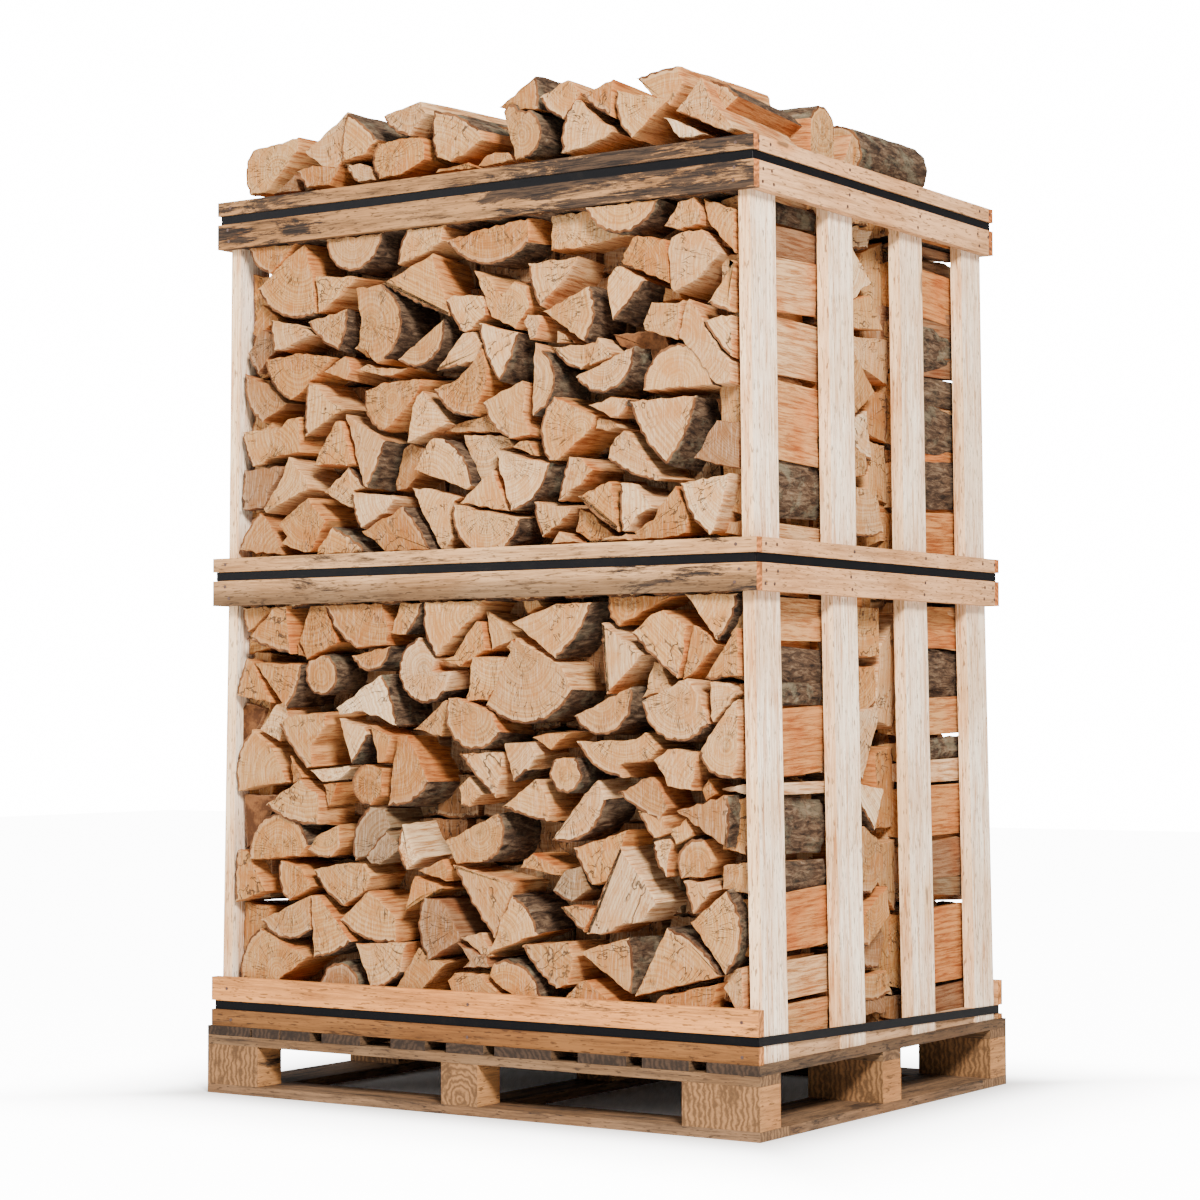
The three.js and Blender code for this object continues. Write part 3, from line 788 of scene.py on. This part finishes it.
upper_front = (
    (4, 5, 14, -529, 1597, -415, 1597, -445, 1567, -476, 1542),
    (3.6, 0, 19, -508, 1518, -478, 1540, -447, 1566, -394, 1594, -370, 1530, -361, 1459),
    (2.8, 0, 0, -361, 1529, -270, 1521, -265, 1516, -327, 1470, -353, 1457),
    (2.6, 0, 50, -341, 1597, -207, 1597),
    (4, 25, 0, -511, 1491, -480, 1470, -468, 1456, -493, 1446, -522, 1428, -536, 1437, -526, 1476),
    (5, 20, 8, -542, 1400, -520, 1422, -503, 1442, -471, 1430, -468, 1395, -485, 1385, -515, 1356),
    (2.2, 0, 6, -467, 1457, -395, 1440, -367, 1420, -400, 1408, -436, 1393, -457, 1397),
    (3, 5, -9, -383, 1446, -289, 1463, -312, 1385),
    (4, 0, 16, -485, 1382, -400, 1388, -308, 1373, -342, 1353, -378, 1325, -410, 1304, -425, 1301),
    (4.5, 10, 16, -564, 1359, -530, 1352, -490, 1338, -460, 1310, -444, 1297, -505, 1263),
    (2.4, 0, 5, -375, 1332, -352, 1322, -328, 1297, -287, 1276, -385, 1230),
    (2.6, 5, 0, -347, 1349, -294, 1377, -282, 1367, -278, 1348, -289, 1329),
    (3, 15, 0, -275, 1349, -250, 1360, -230, 1352, -205, 1348, -150, 1345, -190, 1330, -240, 1338),
    (3, 0, 33, -200, 1362, -218, 1353, -262, 1392, -258, 1443, -269, 1500, -206, 1500),
    (3.4, 12, 0, -283, 1389, -267, 1408, -258, 1400, -262, 1390, -222, 1355),
    (3.4, 0, 3, -206, 1503, -158, 1521, -89, 1547, -48, 1429),
    (2.8, 5, 10, -150, 1597, -62, 1597, -67, 1568, -97, 1551, -172, 1532),
    (3.8, 0, 23, -58, 1567, 8, 1580, 122, 1593, 122, 1548),
    (2.8, 0, 0, 4, 1508, 30, 1498, 62, 1460, 90, 1482, 118, 1472, 122, 1432, 90, 1396, 38, 1421),
    (2.2, 0, 6, -58, 1460, -40, 1467, 20, 1462, 31, 1444, 32, 1425, 14, 1416, 2, 1400, -22, 1399),
    (2, 0, 4, -79, 1332, -22, 1397, 0, 1399, 22, 1375, 8, 1345, -30, 1337),
    (4, 5, 18, -86, 1301, -38, 1312, 8, 1348, 24, 1368, 37, 1330, 34, 1300, 0, 1246),
    (2.8, 5, 38, -172, 1360, -64, 1427),
    (1.8, 0, -7, 17, 1414, 106, 1388, 61, 1302),
    (2, 0, 0, 110, 1408, 120, 1421, 144, 1418, 150, 1400, 138, 1376, 126, 1375),
    (2.6, 0, 33, 132, 1237, 130, 1300, 134, 1370, 152, 1355),
    (2.2, 0, 8, 122, 1511, 228, 1514, 214, 1490, 150, 1429),
    (2.8, 0, 16, 241, 1361, 150, 1423, 180, 1434, 250, 1462),
    (2.4, 5, 14, 168, 1359, 262, 1360, 250, 1325, 228, 1315),
    (2, 20, 0, 174, 1390, 215, 1363, 172, 1366),
    (2.4, 20, 0, 156, 1597, 255, 1597, 272, 1571, 330, 1545, 210, 1530, 158, 1532),
    (3, 0, 36, 250, 1597, 400, 1597),
    (3, 0, 0, 409, 1550, 436, 1589, 470, 1595, 484, 1560, 480, 1545, 440, 1540),
    (3.4, 20, 0, 478, 1594, 556, 1568, 556, 1492, 500, 1536, 486, 1556),
    (2, 0, 0, 417, 1512, 424, 1528, 441, 1537, 484, 1537, 508, 1510, 521, 1492,
     478, 1451, 431, 1431, 424, 1440),
    (4, 8, 0, 341, 1538, 372, 1537, 413, 1524, 421, 1448, 316, 1495),
    (2.2, 0, 5, 300, 1395, 287, 1452, 289, 1474, 305, 1491, 316, 1492, 366, 1460),
    (2.6, 0, 0, 381, 1421, 430, 1415, 447, 1419, 436, 1372, 434, 1350, 368, 1372, 364, 1383),
    (2.2, 0, 0, 449, 1408, 459, 1421, 484, 1394, 490, 1372, 528, 1322, 556, 1305, 556, 1268,
     514, 1268, 473, 1322, 438, 1354),
    (2.3, 5, 4, 488, 1379, 524, 1386, 556, 1386, 556, 1312, 538, 1316),
    (3, 5, 6, 497, 1409, 548, 1474, 556, 1478, 556, 1390),
    (2.5, 0, 54, 508, 1268, 363, 1267),
    (2, 0, 42, 224, 1302, 347, 1347),
    (2, 5, 0, 269, 1368, 305, 1338, 298, 1330, 250, 1318, 258, 1348),
    (8, 45, 12, 275, 1377, 380, 1380, 395, 1345, 365, 1280, 352, 1345, 310, 1345),
    (3, 30, 0, 388, 1450, 420, 1440, 425, 1425, 385, 1424),
    (2.8, 5, 8, -546, 1249, -461, 1253, -474, 1205, -495, 1185, -522, 1180),
    (3.8, 0, 0, -468, 1194, -475, 1200, -461, 1240, -444, 1255, -422, 1269, -402, 1268,
     -398, 1225, -400, 1200),
    (5, 15, 4, -566, 1176, -450, 1180, -452, 1164, -474, 1138, -494, 1100, -562, 1098),
    (2.4, 0, 0, -426, 1195, -378, 1145, -376, 1132, -425, 1113, -482, 1091, -489, 1099, -447, 1152),
    (4.4, 5, 9, -501, 1094, -480, 1078, -455, 1040, -446, 1011, -500, 1015, -567, 1023),
    (3.6, 0, 0, -378, 1114, -334, 1070, -371, 1012, -388, 1012, -446, 1031, -431, 1045,
     -449, 1066, -444, 1075, -408, 1098),
    (3.6, 0, 6, -240, 1008, -357, 1008, -355, 1022, -322, 1059),
    (2.4, 5, 8, -250, 1128, -277, 1124, -276, 1096, -290, 1092, -347, 1124, -286, 1169),
    (1.5, 0, 9, -276, 1122, -184, 1112, -182, 1098, -200, 1080, -257, 1053),
    (4, 0, 4, -88, 1008, -195, 1008, -253, 1048, -150, 1090),
    (3.5, 0, 0, -311, 1254, -296, 1256, -265, 1170, -366, 1174, -350, 1200),
    (2.4, 0, 3, -233, 1126, -244, 1130, -291, 1267, -262, 1252, -192, 1212),
    (3.3, 0, 20, -242, 1306, -200, 1320, -116, 1322, -120, 1297, -136, 1281, -183, 1237, -200, 1228),
    (4.4, 30, 0, -182, 1199, -164, 1208, -120, 1196, -135, 1159, -175, 1123, -200, 1122, -203, 1132),
    (2, 0, 0, -111, 1299, -54, 1236, -70, 1228, -144, 1203, -136, 1262, -125, 1290),
    (2.4, 0, 14, -2, 1120, -15, 1114, -133, 1155, -105, 1199, -88, 1212, -62, 1209),
    (2.2, 30, 0, -40, 1217, 40, 1212, 62, 1205, 74, 1190, 40, 1182, 36, 1152,
     4, 1124, -8, 1150, -35, 1198),
    (2.2, 5, 0, -140, 1124, -95, 1120, -26, 1101, -42, 1094, -54, 1070, -50, 1030,
     -64, 1008, -76, 1008, -118, 1078),
    (2.4, 0, 52, -39, 1089, 111, 1058),
    (2.4, 0, 0, 44, 1147, 54, 1130, 76, 1072, 56, 1074, -28, 1090, -5, 1111),
    (1.8, 0, 18, 84, 1070, 48, 1182, 169, 1153),
    (2.8, 0, 12, 22, 1269, 50, 1282, 110, 1304, 118, 1290, 112, 1245, 128, 1205, 110, 1202, 80, 1200),
    (3, 10, 0, 80, 1186, 95, 1197, 115, 1198, 128, 1180, 133, 1167, 122, 1170),
    (3, 0, 20, 175, 1271, 220, 1250, 263, 1233, 252, 1208, 215, 1178, 182, 1157, 164, 1156),
    (2.3, 5, 6, 131, 1087, 150, 1086, 213, 1072, 205, 1060, 148, 1020),
    (2.4, 8, 0, 182, 1034, 200, 1026, 232, 1010, 165, 1010),
    (2.3, 0, 5, 206, 1162, 232, 1160, 258, 1136, 240, 1118, 186, 1083),
    (3.6, 0, 6, 228, 1092, 293, 1116, 300, 1110, 311, 1026),
    (1.6, 0, 5, 315, 1113, 345, 1108, 372, 1085, 384, 1064, 352, 1052, 335, 1026, 321, 1026),
    (3.8, 5, 0, 428, 1100, 454, 1052, 447, 1018, 410, 1012, 350, 1010, 342, 1026, 380, 1046, 392, 1065),
    (2.6, 0, 0, 240, 1011, 300, 1020, 326, 1022, 332, 1011),
    (1.5, 0, 12, 441, 1105, 541, 1117, 534, 1085, 512, 1022, 500, 1014),
    (2, 0, -8, 339, 1252, 474, 1254, 413, 1136),
    (2, 0, 6, 290, 1154, 294, 1175, 305, 1190, 322, 1202, 335, 1196, 366, 1156, 400, 1115, 385, 1110),
    (5, 20, 0, 455, 1148, 475, 1173, 488, 1198, 500, 1212, 556, 1206, 556, 1125, 528, 1127),
    (8, 45, 0, 482, 1252, 556, 1252, 556, 1212, 502, 1218, 494, 1205),
    (2.2, 0, 4, 337, 1255, 300, 1262, 252, 1250, 300, 1225, 315, 1225, 333, 1242),
    (2.2, 10, 0, 265, 1230, 290, 1222, 312, 1208, 280, 1203, 256, 1208),
    (4, 30, 0, 216, 1072, 245, 1062, 262, 1040, 300, 1018, 240, 1014, 205, 1030),
    (3, 30, 0, -90, 1222, -50, 1240, 30, 1250, 60, 1240, 40, 1216),
)

RIGHT = Vector((1, 0, 0))
LEFT = Vector((-1, 0, 0))
FRONT = Vector((0, -1, 0))
BACK = Vector((0, 1, 0))
UP = Vector((0, 0, 1))
post_foot = 126
post_foot_reach = 571.6
post_lean = 0.0142
post_top = 1700
post_top_reach = 549


def inner_side(height):
    """How far out the posts' inner faces are at a height, in mm: they lean in a little."""
    return post_foot_reach - (height - post_foot) * post_lean if height < post_top else post_top_reach


def fit_between_posts(log):
    """Carry the outermost corners out to the posts, and no further."""
    gap = 9
    fitted = list(log)
    for at in range(3, len(log), 2):
        if abs(log[at]) > post_top_reach:
            fitted[at] = math.copysign(inner_side(log[at + 1]) - gap, log[at])
    return tuple(fitted)


def turn_round(log, low, high):
    """The same log end upside down, for a stack that shouldn't look the same."""
    turned = [log[0], log[1], log[2]]
    for at in range(3, len(log), 2):
        turned.extend((-log[at], low + high - log[at + 1]))
    return tuple(turned)


def hidden_course(low, high, chance, reach=556):
    """Plain logs that fill a course out of sight."""
    logs = []
    start = -reach
    while start < reach - 16:
        width = chance.uniform(70, 120)
        stop = min(start + width, reach)
        slant = chance.uniform(-20, 20)
        logs.append((
            chance.choice((2, 3, 4)), 11, 8,
            start, low + 2, start + 4 + slant * 0.3, high - 3, stop - 4, high - 3, stop - 2, low + 2,
        ))
        start = stop
    return logs


def add_side_logs(pile, logs, side, end, inward, chance):
    """Logs against the posts: each is tone, bulge of its bark, and the heights it fills."""
    for tone, bulge, low, high in logs:
        low = low - 6 * (side < 0)
        high = high + 6 * (side < 0)
        outer = inner_side(high) - 3 - chance.uniform(0, 4) - bulge * (high - low) / 100
        log = (
            tone, chance.uniform(0, 12), bulge, side * (outer - chance.uniform(0, 5)), low,
            side * 500, low + 8, side * 500, high - 8, side * outer, high,
        )
        add_log(pile, log, Vector((0, end, 0)), RIGHT, UP, inward, 0.255, chance, spread=0.0, tuck=0.005)


near_posts = (
    (3, 0, 150, 212), (2, 0, 216, 285), (4, 0, 298, 401), (3, 13, 405, 462), (4, 12, 472, 570),
    (1, 0, 572, 594), (4, 0, 597, 716), (3, 12, 722, 764), (3, 12, 767, 834), (3, 0, 838, 914),
    (2, 0, 1010, 1044), (3, 12, 1048, 1150), (3, 0, 1154, 1294), (2, 0, 1298, 1399),
    (2, 0, 1402, 1500), (5, 0, 1503, 1556), (3, 14, 1560, 1598),
)
far_posts = (
    (5, 0, 150, 205), (4, 0, 208, 352), (6, 0, 364, 399), (5, 0, 404, 478), (4, 0, 482, 580),
    (1, 0, 583, 627), (3, 12, 630, 672), (3, 0, 675, 746), (3, 13, 750, 829), (4, 0, 833, 914),
    (4, 0, 1010, 1096), (2, 8, 1101, 1195), (3, 12, 1198, 1292), (4, 12, 1295, 1349),
    (3, 12, 1352, 1450), (4, 0, 1454, 1546), (5, 0, 1580, 1598),
)
row_face = 0.450
side_face = 0.410


def fill_behind_rails(name, origin, right, inward, right_logs, left_logs):
    """The three courses that rails hide, and the logs that show between the side posts."""
    pile = new_pile()
    for low, high in ((127, 199), (917, 1006), (1599, 1687)):
        for log in hidden_course(low, high, chance):
            add_log(pile, log, origin, right, UP, inward, 0.28, chance, fine=False, spread=0.003)
    end = -side_face * inward.y
    add_side_logs(pile, right_logs, 1, end, inward, chance)
    add_side_logs(pile, left_logs, -1, end, inward, chance)
    finish_pile(pile, name)


def fill_core(name, origin, right, inward):
    """Rough logs deep in a row, so that no light shows between the ends; their dark tones are painted shade.
    """
    pile = new_pile()
    for course in range(17):
        low = 200 + course * 81
        for log in hidden_course(low, low + 80, chance, 528):
            # Painted shade: these ends get the dark tones 5 to 6, brown to grey, so that the gaps between the
            # front ends look dark.
            deep = (chance.choice((5, 5.5, 6)), 100) + log[2:]
            add_log(pile, deep, origin, right, UP, inward, 0.17, chance, fine=False, spread=0.03)
    finish_pile(pile, name)


chance = random.Random(5)
front_origin = Vector((0, -row_face, 0))
for name, logs, solids in (
    ("front_logs_lower", lower_front, ("log_row_front",)),
    ("front_logs_upper", upper_front, ()),
):
    pile = new_pile()
    for log in logs:
        add_log(pile, fit_between_posts(log), front_origin, RIGHT, UP, BACK, 0.29, chance)
    finish_pile(pile, name, *solids)
fill_behind_rails("front_logs_behind_rails", front_origin, RIGHT, BACK, near_posts, far_posts)
fill_core("front_logs_inside", front_origin, RIGHT, BACK)

# Firewood, back row: split hardwood logs too, laid front to back with their ends to the back,
# so that it looks like the front row, with other logs in other places.

back_origin = Vector((0, row_face, 0))
for name, logs, low, high, solids in (
    ("back_logs_lower", lower_front, 200, 916, ("log_row_back",)),
    ("back_logs_upper", upper_front, 1008, 1597, ()),
):
    pile = new_pile()
    for log in logs:
        turned = turn_round(fit_between_posts(log), low, high)
        add_log(pile, turned, back_origin, LEFT, UP, FRONT, 0.29, chance)
    finish_pile(pile, name, *solids)
fill_behind_rails("back_logs_behind_rails", back_origin, LEFT, FRONT, far_posts, near_posts)
fill_core("back_logs_inside", back_origin, LEFT, FRONT)

# Firewood, middle row: split hardwood logs that lie across, between the two other rows. Their
# ends show in the middle gap between the posts of both sides, and the rest is hidden.

side_ends = (
    (5, 8, 0, -76, 166, -76, 200, 76, 200, 76, 166),
    (2, 5, 6, -78, 204, -78, 266, -42, 262, -38, 204),
    (3, 5, 10, -34, 204, -50, 236, 78, 242, 100, 204),
    (5, 15, 5, -34, 266, -60, 290, 4, 286, 78, 338, 104, 300, 78, 246),
    (4, 0, 10, -50, 330, 70, 398, 78, 345, 5, 290),
    (3, 0, 14, -70, 430, -60, 500, 0, 508, 75, 470, 50, 402, 25, 385),
    (1, 5, 3, -50, 590, 76, 574, 45, 497),
    (1, 0, 12, -76, 606, -75, 700, 60, 724, 66, 700, 10, 592),
    (4, 20, 16, -76, 732, -75, 800, 76, 796, 74, 732),
    (3, 0, 8, -75, 905, 65, 905, 66, 815, 0, 812, -40, 840),
    (2, 0, 8, -65, 1040, -60, 1124, 30, 1120, 60, 1100, 76, 1042),
    (3, 0, 24, 34, 1142, -70, 1138, -10, 1198, 35, 1184),
    (1, 5, 6, -20, 1202, -10, 1250, 50, 1264, 76, 1175),
    (3, 0, 9, -75, 1232, -76, 1398, -40, 1395, 20, 1340, 60, 1300, -10, 1253),
    (3, 5, 10, -75, 1402, 96, 1416, 50, 1478, -75, 1432),
    (1, 0, 12, -75, 1442, -75, 1538, -20, 1558, 55, 1502, -30, 1452),
    (1, 10, 5, -75, 1562, -75, 1600, 75, 1600, 60, 1565),
    (3, 18, 8, 146, 345, 80, 400, 60, 404, 80, 470, 146, 480),
    (4, 22, 8, 146, 500, 60, 500, 80, 580, 78, 640, 146, 650),
    (2, 16, 8, 146, 680, 72, 700, 80, 830, 146, 900),
    (3, 24, 8, 146, 1100, 66, 1104, 80, 1170, 62, 1215, 146, 1210),
    (4, 14, 8, 146, 1214, 70, 1222, 66, 1300, 146, 1310),
    (2, 12, 8, 146, 1320, 30, 1345, -20, 1396, 146, 1408),
    (3, 22, 8, 146, 1430, 66, 1480, 62, 1560, 146, 1590),
    (4, 14, 8, -78, 840, -78, 812, -10, 806, -50, 838),
    (4, 14, 8, -78, 405, -78, 300, -60, 300, -56, 330, 10, 380),
)

gap_edge = 74
hidden_edge = 144
pile = new_pile()
for log in side_ends:
    corners = (-hidden_edge if v <= -gap_edge and not at % 2 else v for at, v in enumerate(log[3:]))
    log = log[:3] + tuple(corners)
    inside = (inner_side(log[4]) - 8) / 1000
    add_log(pile, log, Vector((inside, 0, 0)), BACK, UP, LEFT, 0.29, chance)
    low, high = (165, 915) if log[4] < 950 else (1030, 1600)
    turned = turn_round(log, low, high)
    turned = turned[:3] + tuple(v if at % 2 else v + 24 for at, v in enumerate(turned[3:]))
    inside = (inner_side(turned[4]) - 8) / 1000
    add_log(pile, turned, Vector((-inside, 0, 0)), FRONT, UP, RIGHT, 0.29, chance)
finish_pile(pile, "middle_logs", "log_row_middle")

outer_stacks = (-0.23, 0.50)
pile = new_pile()
for stack in (-0.23, 0.0, 0.26, 0.50):
    height = 128
    while height < 1680:
        rise = chance.uniform(70, 95)
        top = min(height + rise, 1688) - 3
        behind_rail = 912 < height < 1000 or height >= 1596
        for low, high in ((-146, -80), (-78, 106), (108, 146)):
            if stack in outer_stacks and low == -78 and not behind_rail:
                continue
            log = (chance.choice((2, 3, 4)), 6, 10, low, height, low, top, high, top, high, height)
            add_log(pile, log, Vector((stack - 0.005, 0, 0)), BACK, UP, LEFT, 0.27, chance, False, 0.004)
        height = top + 3
finish_pile(pile, "middle_logs_inside")

# Firewood, heap: split hardwood logs thrown on top, most of them front to back along the open
# front, and others across behind them. Nothing holds them.

heap_front = (
    (3, 8, 16, -520, 1786, -450, 1792, -408, 1799, -410, 1770, -455, 1728, -487, 1699, -525, 1697),
    (5, 22, 0, -485, 1697, -428, 1733, -415, 1697),
    (6, 34, 0, -428, 1733, -405, 1748, -392, 1745, -396, 1700, -414, 1697),
    (4, 5, 8, -409, 1732, -370, 1738, -300, 1728, -330, 1697, -385, 1697),
    (2, 5, 0, -391, 1765, -287, 1831, -298, 1742, -312, 1724, -352, 1736),
    (3, 0, -6, -213, 1768, -240, 1746, -296, 1735, -284, 1827),
    (2, 10, 10, -298, 1735, -255, 1730, -232, 1718, -228, 1697, -268, 1697),
    (4, 0, 24, -215, 1762, -165, 1765, -113, 1764, -103, 1748, -103, 1720, -160, 1697, -212, 1697),
    (2, 0, 14, -200, 1812, -165, 1818, -112, 1829, -98, 1803, -140, 1767),
    (3, 0, -8, 20, 1760, 27, 1740, -20, 1716, -45, 1709, -78, 1720, -85, 1808),
    (4, 16, 0, -92, 1696, -85, 1703, -20, 1708, 0, 1696),
    (3, 12, 0, 5, 1697, 18, 1713, 42, 1719, 72, 1716, 90, 1697),
    (3, 0, -52, 117, 1697, 97, 1697, 72, 1780, 105, 1785),
    (4, 5, 8, 143, 1783, 85, 1787, 58, 1797, 137, 1846),
    (3, 0, 10, 150, 1803, 212, 1829, 240, 1800, 200, 1757),
    (2, 0, 10, 222, 1793, 236, 1788, 309, 1724, 250, 1702, 197, 1697),
    (4, 0, 6, 240, 1797, 308, 1817, 305, 1750),
    (3, 0, 16, 315, 1797, 350, 1786, 387, 1778, 425, 1768, 398, 1748, 344, 1708),
    (3, 0, 3, 440, 1824, 450, 1790, 422, 1756, 388, 1777, 352, 1812),
    (2, 0, 0, 434, 1745, 487, 1799, 512, 1750, 560, 1699, 538, 1698),
    (3, 45, 14, 536, 1765, 500, 1740, 440, 1760, 455, 1802),
    (1, 5, 0, 408, 1738, 420, 1737, 500, 1697, 440, 1697),
)

heap_foot = 1692


def deeper_in_heap(log, tone, depth, sideways, squash):
    """The same log end moved to the side, but inside the posts, and lower."""
    moved = [tone, depth, log[2]]
    for at in range(3, len(log), 2):
        moved.extend((min(log[at] + sideways, 545), heap_foot + (log[at + 1] - heap_foot) * squash))
    return tuple(moved)


pile = new_pile()
for log in heap_front:
    add_log(pile, log, Vector((0, -0.449, 0)), RIGHT, UP, BACK, 0.29, chance, spread=0.004)
heap_across = (
    (3, 0, 45, -60, 1756, -60, 1692, -142, 1692, -142, 1774),
    (2, 0, 0, -40, 1692, 16, 1784, 66, 1692),
)
for log in heap_across:
    add_log(pile, log, Vector((0.540, 0, 0)), BACK, UP, LEFT, 0.29, chance)
for log in heap_front[:-5]:
    # Painted shade: these copies behind the heap's ends all get the dark brown tone 5.5, so the gaps between
    # them look dark.
    deep = deeper_in_heap(log, 5.5, 75, 38, 0.9)
    add_log(pile, deep, Vector((0, -0.434, 0)), RIGHT, UP, BACK, 0.2, chance, False, 0.03)
for stack in (0.27, 0.0, -0.27):
    low = -150
    while low < 120:
        high = low + chance.uniform(60, 100)
        top = heap_foot + (high - low) * chance.uniform(0.8, 1.1)
        peak = chance.uniform(low + 20, high - 20)
        log = (
            chance.choice((2, 3, 4, 6)), chance.uniform(0, 40), chance.choice((0, 12, 30)),
            high, heap_foot, low, heap_foot, low + 4, chance.uniform(1720, top - 10), peak, top,
        )
        add_log(pile, log, Vector((stack, 0, 0)), BACK, UP, LEFT, 0.24, chance)
        low = high + 2
bark_log = (3, 0, 100, 540, 1702, 452, 1702)
add_log(pile, bark_log, Vector((0, 0, 0)), RIGHT, UP, BACK, 0.315, chance)
finish_pile(pile, "heap_logs_front", "log_heap")

pile = new_pile()
for log in heap_front:
    lower = deeper_in_heap(log, log[0], log[1], 0, 0.72)
    if -420 < lower[3] < 380:
        add_log(pile, lower, Vector((0, 0.425, 0)), LEFT, UP, FRONT, 0.28, chance)
finish_pile(pile, "heap_logs_back")

# Floor: white, and brighter to the camera than to the logs, except under the pallet, where
# the shade is left as it falls. Round the pallet the glow to the camera fades out, which is a
# painted soft shadow on the floor.

bpy.ops.mesh.primitive_plane_add(size=24, location=(0, 0, 0))
floor = bpy.context.object
floor.name = "floor"
material, tree, surface = new_material("floor_white")
surface.inputs["Base Color"].default_value = (0.92, 0.92, 0.92, 1)
surface.inputs["Roughness"].default_value = 0.9
surface.inputs["Emission Color"].default_value = (1, 1, 1, 1)
seen = add_node(tree, "LightPath").outputs["Is Camera Ray"]
pallet_reach = (0.60, 0.46, 0.0)
away = add_node(tree, "VectorMath", {0: add_node(tree, "TexCoord").outputs["Object"]}, operation="ABSOLUTE")
away = add_node(tree, "VectorMath", {0: away.outputs[0], 1: pallet_reach}, operation="SUBTRACT")
away = add_node(tree, "SeparateXYZ", {0: away.outputs[0]}).outputs
away = do_maths(tree, "SMOOTH_MAX", away[X], away[Y], 0.05)
# Painted shadow: the glow fades from about 0.5 m out to nothing at the pallet's edges, a soft shade on the
# floor round the pallet.
camera_glow_and_painted_shadow = times(tree, step(tree, away, -0.05, 0.16), step(tree, away, -0.2, 0.5))
camera_glow_and_painted_shadow = times(tree, seen, times(tree, camera_glow_and_painted_shadow, 12.0))
tree.links.new(camera_glow_and_painted_shadow, surface.inputs["Emission Strength"])
floor.data.materials.append(material)

# Studio: a white world, also brighter to the camera, and two soft lamps to the front.

world = bpy.data.worlds.new("studio")
bpy.context.scene.world = world
world.use_nodes = True
tree = world.node_tree
sky = tree.nodes["Background"]
seen = add_node(tree, "LightPath").outputs["Is Camera Ray"]
tree.links.new(do_maths(tree, "MULTIPLY_ADD", seen, 15.5, 0.6), sky.inputs["Strength"])
sky.inputs["Color"].default_value = (1.0, 1.0, 1.0, 1)


def add_light(name, location, size, power, shade):
    """A square lamp that looks at the middle of the crate."""
    bpy.ops.object.light_add(type="AREA", location=location)
    lamp = bpy.context.object
    lamp.name = name
    lamp.data.size = size
    lamp.data.energy = power
    lamp.data.color = shade
    aim = Vector((0, 0, 0.9)) - Vector(location)
    lamp.rotation_euler = aim.to_track_quat("-Z", "Y").to_euler()


add_light("key", (4.0, -4.0, 4.0), 1.3, 1060, (1.0, 0.955, 0.90))
add_light("fill", (-3.4, -4.4, 2.2), 3.0, 170, (1.0, 0.98, 0.96))

# Camera: low, to the right of the front, and a hair's breadth out of level.

bpy.ops.object.camera_add(location=(3.079, -4.635, 0.707))
camera = bpy.context.object
camera.name = "camera"
to_the_right = Matrix.Rotation(math.radians(33.78), 3, "Z")
upwards = Matrix.Rotation(math.radians(92.29), 3, "X")
level = Matrix.Rotation(math.radians(-0.125), 3, "Z")
camera.rotation_euler = (to_the_right @ upwards @ level).to_euler()
camera.data.lens = 87.18
camera.data.sensor_width = 36
bpy.context.scene.camera = camera
